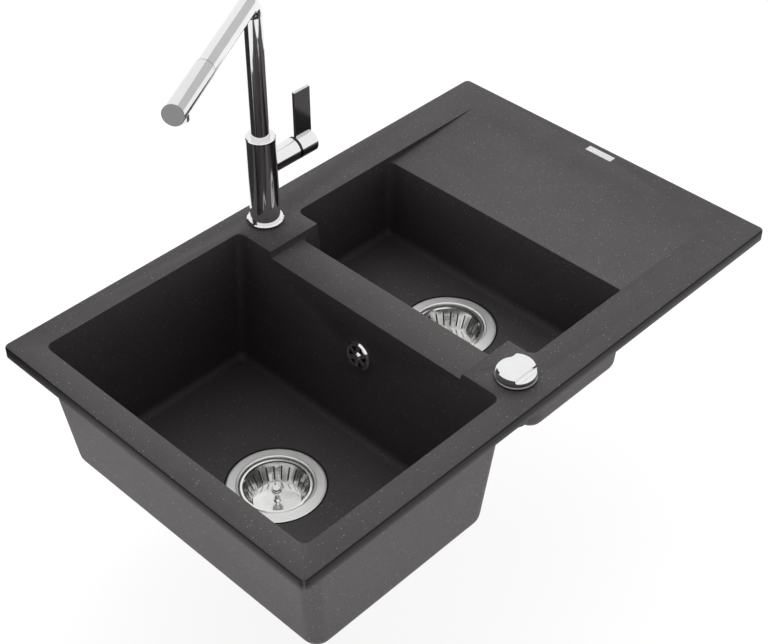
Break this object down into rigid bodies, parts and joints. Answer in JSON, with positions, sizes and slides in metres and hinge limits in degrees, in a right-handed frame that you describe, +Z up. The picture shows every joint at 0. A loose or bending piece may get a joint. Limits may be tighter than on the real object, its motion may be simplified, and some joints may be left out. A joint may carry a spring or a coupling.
{
  "type": "one and a half bowl sink",
  "caption": "Inset composite kitchen sink with a large bowl, a smaller bowl and a sloping drainer, a pull-out mixer tap, basket wastes, an overflow and a turning waste control.",
  "frame": {"origin": "centre of the rim's 760 x 480 mm footprint, on the worktop plane, which is the rim's underside", "axes": "+X along the sink from the main bowl to the drainer, +Y to the back edge where the tap stands, +Z up"},
  "size_m": [0.76, 0.48, 0.6196],
  "materials": {
    "stone": "matte, fine grained composite with pale specks",
    "badge_steel": "satin",
    "flange_steel": "circular brushed",
    "basket_steel": "polished",
    "black_rubber": "matte",
    "black_plastic": "fine moulded texture",
    "chrome": "polished",
    "dark_chrome": "polished",
    "satin_steel": "satin",
    "brass": "turned",
    "white_plastic": "smooth",
    "blue_plastic": "smooth",
    "hose_grey": "braided"
  },
  "bodies": {
    "sink": {"sink_body": "stone", "badge_plate": "badge_steel", "main_waste_flange": "flange_steel", "main_flange_gasket": "black_rubber", "main_waste_gasket": "black_rubber", "main_waste_body": "black_plastic", "main_waste_screw": "basket_steel", "half_waste_flange": "flange_steel", "half_flange_gasket": "black_rubber", "half_waste_gasket": "black_rubber", "half_waste_body": "black_plastic", "half_waste_screw": "basket_steel", "overflow_rosette": "chrome", "overflow_screw": "chrome", "overflow_gasket": "black_rubber", "overflow_elbow": "black_plastic", "control_collar": "chrome", "control_seal": "black_rubber", "control_housing": "black_plastic", "control_nut": "black_plastic", "tap_base_ring": "chrome", "tap_base_seal": "black_rubber", "tap_body": "chrome", "tap_shank": "brass", "shank_rubber_washer": "black_rubber", "shank_metal_washer": "flange_steel", "shank_nut": "brass", "spout_bearing": "white_plastic", "cartridge_body": "blue_plastic", "cartridge_nut": "dark_chrome"},
    "spout": {"spout_tube": "chrome", "spout_collar": "chrome"},
    "spray": {"spray_head": "chrome", "spray_head_cap": "satin_steel", "spray_hose": "hose_grey", "aerator": "white_plastic", "aerator_ring": "chrome"},
    "lever_swivel": {"cartridge_rotor": "white_plastic"},
    "lever": {"lever_stem": "basket_steel", "lever_hub": "chrome", "lever_blade": "dark_chrome", "lever_screw": "basket_steel"},
    "knob": {"control_knob": "chrome", "control_spindle": "basket_steel"},
    "lift": {"main_lift_pin": "basket_steel"},
    "main_strainer": {"main_basket": "basket_steel", "main_basket_seal": "black_rubber", "main_basket_knob": "basket_steel"},
    "half_strainer": {"half_basket": "basket_steel", "half_basket_seal": "black_rubber", "half_basket_knob": "basket_steel"}
  },
  "joints": [
    {"name": "spout_swivel", "type": "hinge", "parent": "sink", "child": "spout", "pos_m": [-0.023, 0.204, 0.114], "axis": [0, 0, 1], "range_deg": [-60, 130]},
    {"name": "spray_pull", "type": "slide", "parent": "spout", "child": "spray", "axis": [-0.8454, -0.5283, 0.0785], "range_m": [0, 0.08]},
    {"name": "lever_turn", "type": "hinge", "parent": "sink", "child": "lever_swivel", "pos_m": [0.01597, 0.204, 0.091], "axis": [1, 0, 0], "range_deg": [-45, 45]},
    {"name": "lever_tilt", "type": "hinge", "parent": "lever_swivel", "child": "lever", "pos_m": [0.01597, 0.204, 0.091], "axis": [0, 1, 0], "range_deg": [0, 20]},
    {"name": "knob_turn", "type": "hinge", "parent": "sink", "child": "knob", "pos_m": [-0.0245, -0.195, 0.014], "axis": [0, 0, 1], "range_deg": [0, 90]},
    {"name": "pin_lift", "type": "slide", "parent": "sink", "child": "lift", "axis": [0, 0, 1], "range_m": [0, 0.008]},
    {"name": "main_basket_out", "type": "slide", "parent": "lift", "child": "main_strainer", "axis": [0, 0, 1], "range_m": [0, 0.08]},
    {"name": "half_basket_out", "type": "slide", "parent": "sink", "child": "half_strainer", "axis": [0, 0, 1], "range_m": [0, 0.08]}
  ],
  "couplings": [
    {"joint": "pin_lift", "follows": "knob_turn", "m_per_rad": 0.005093}
  ]
}
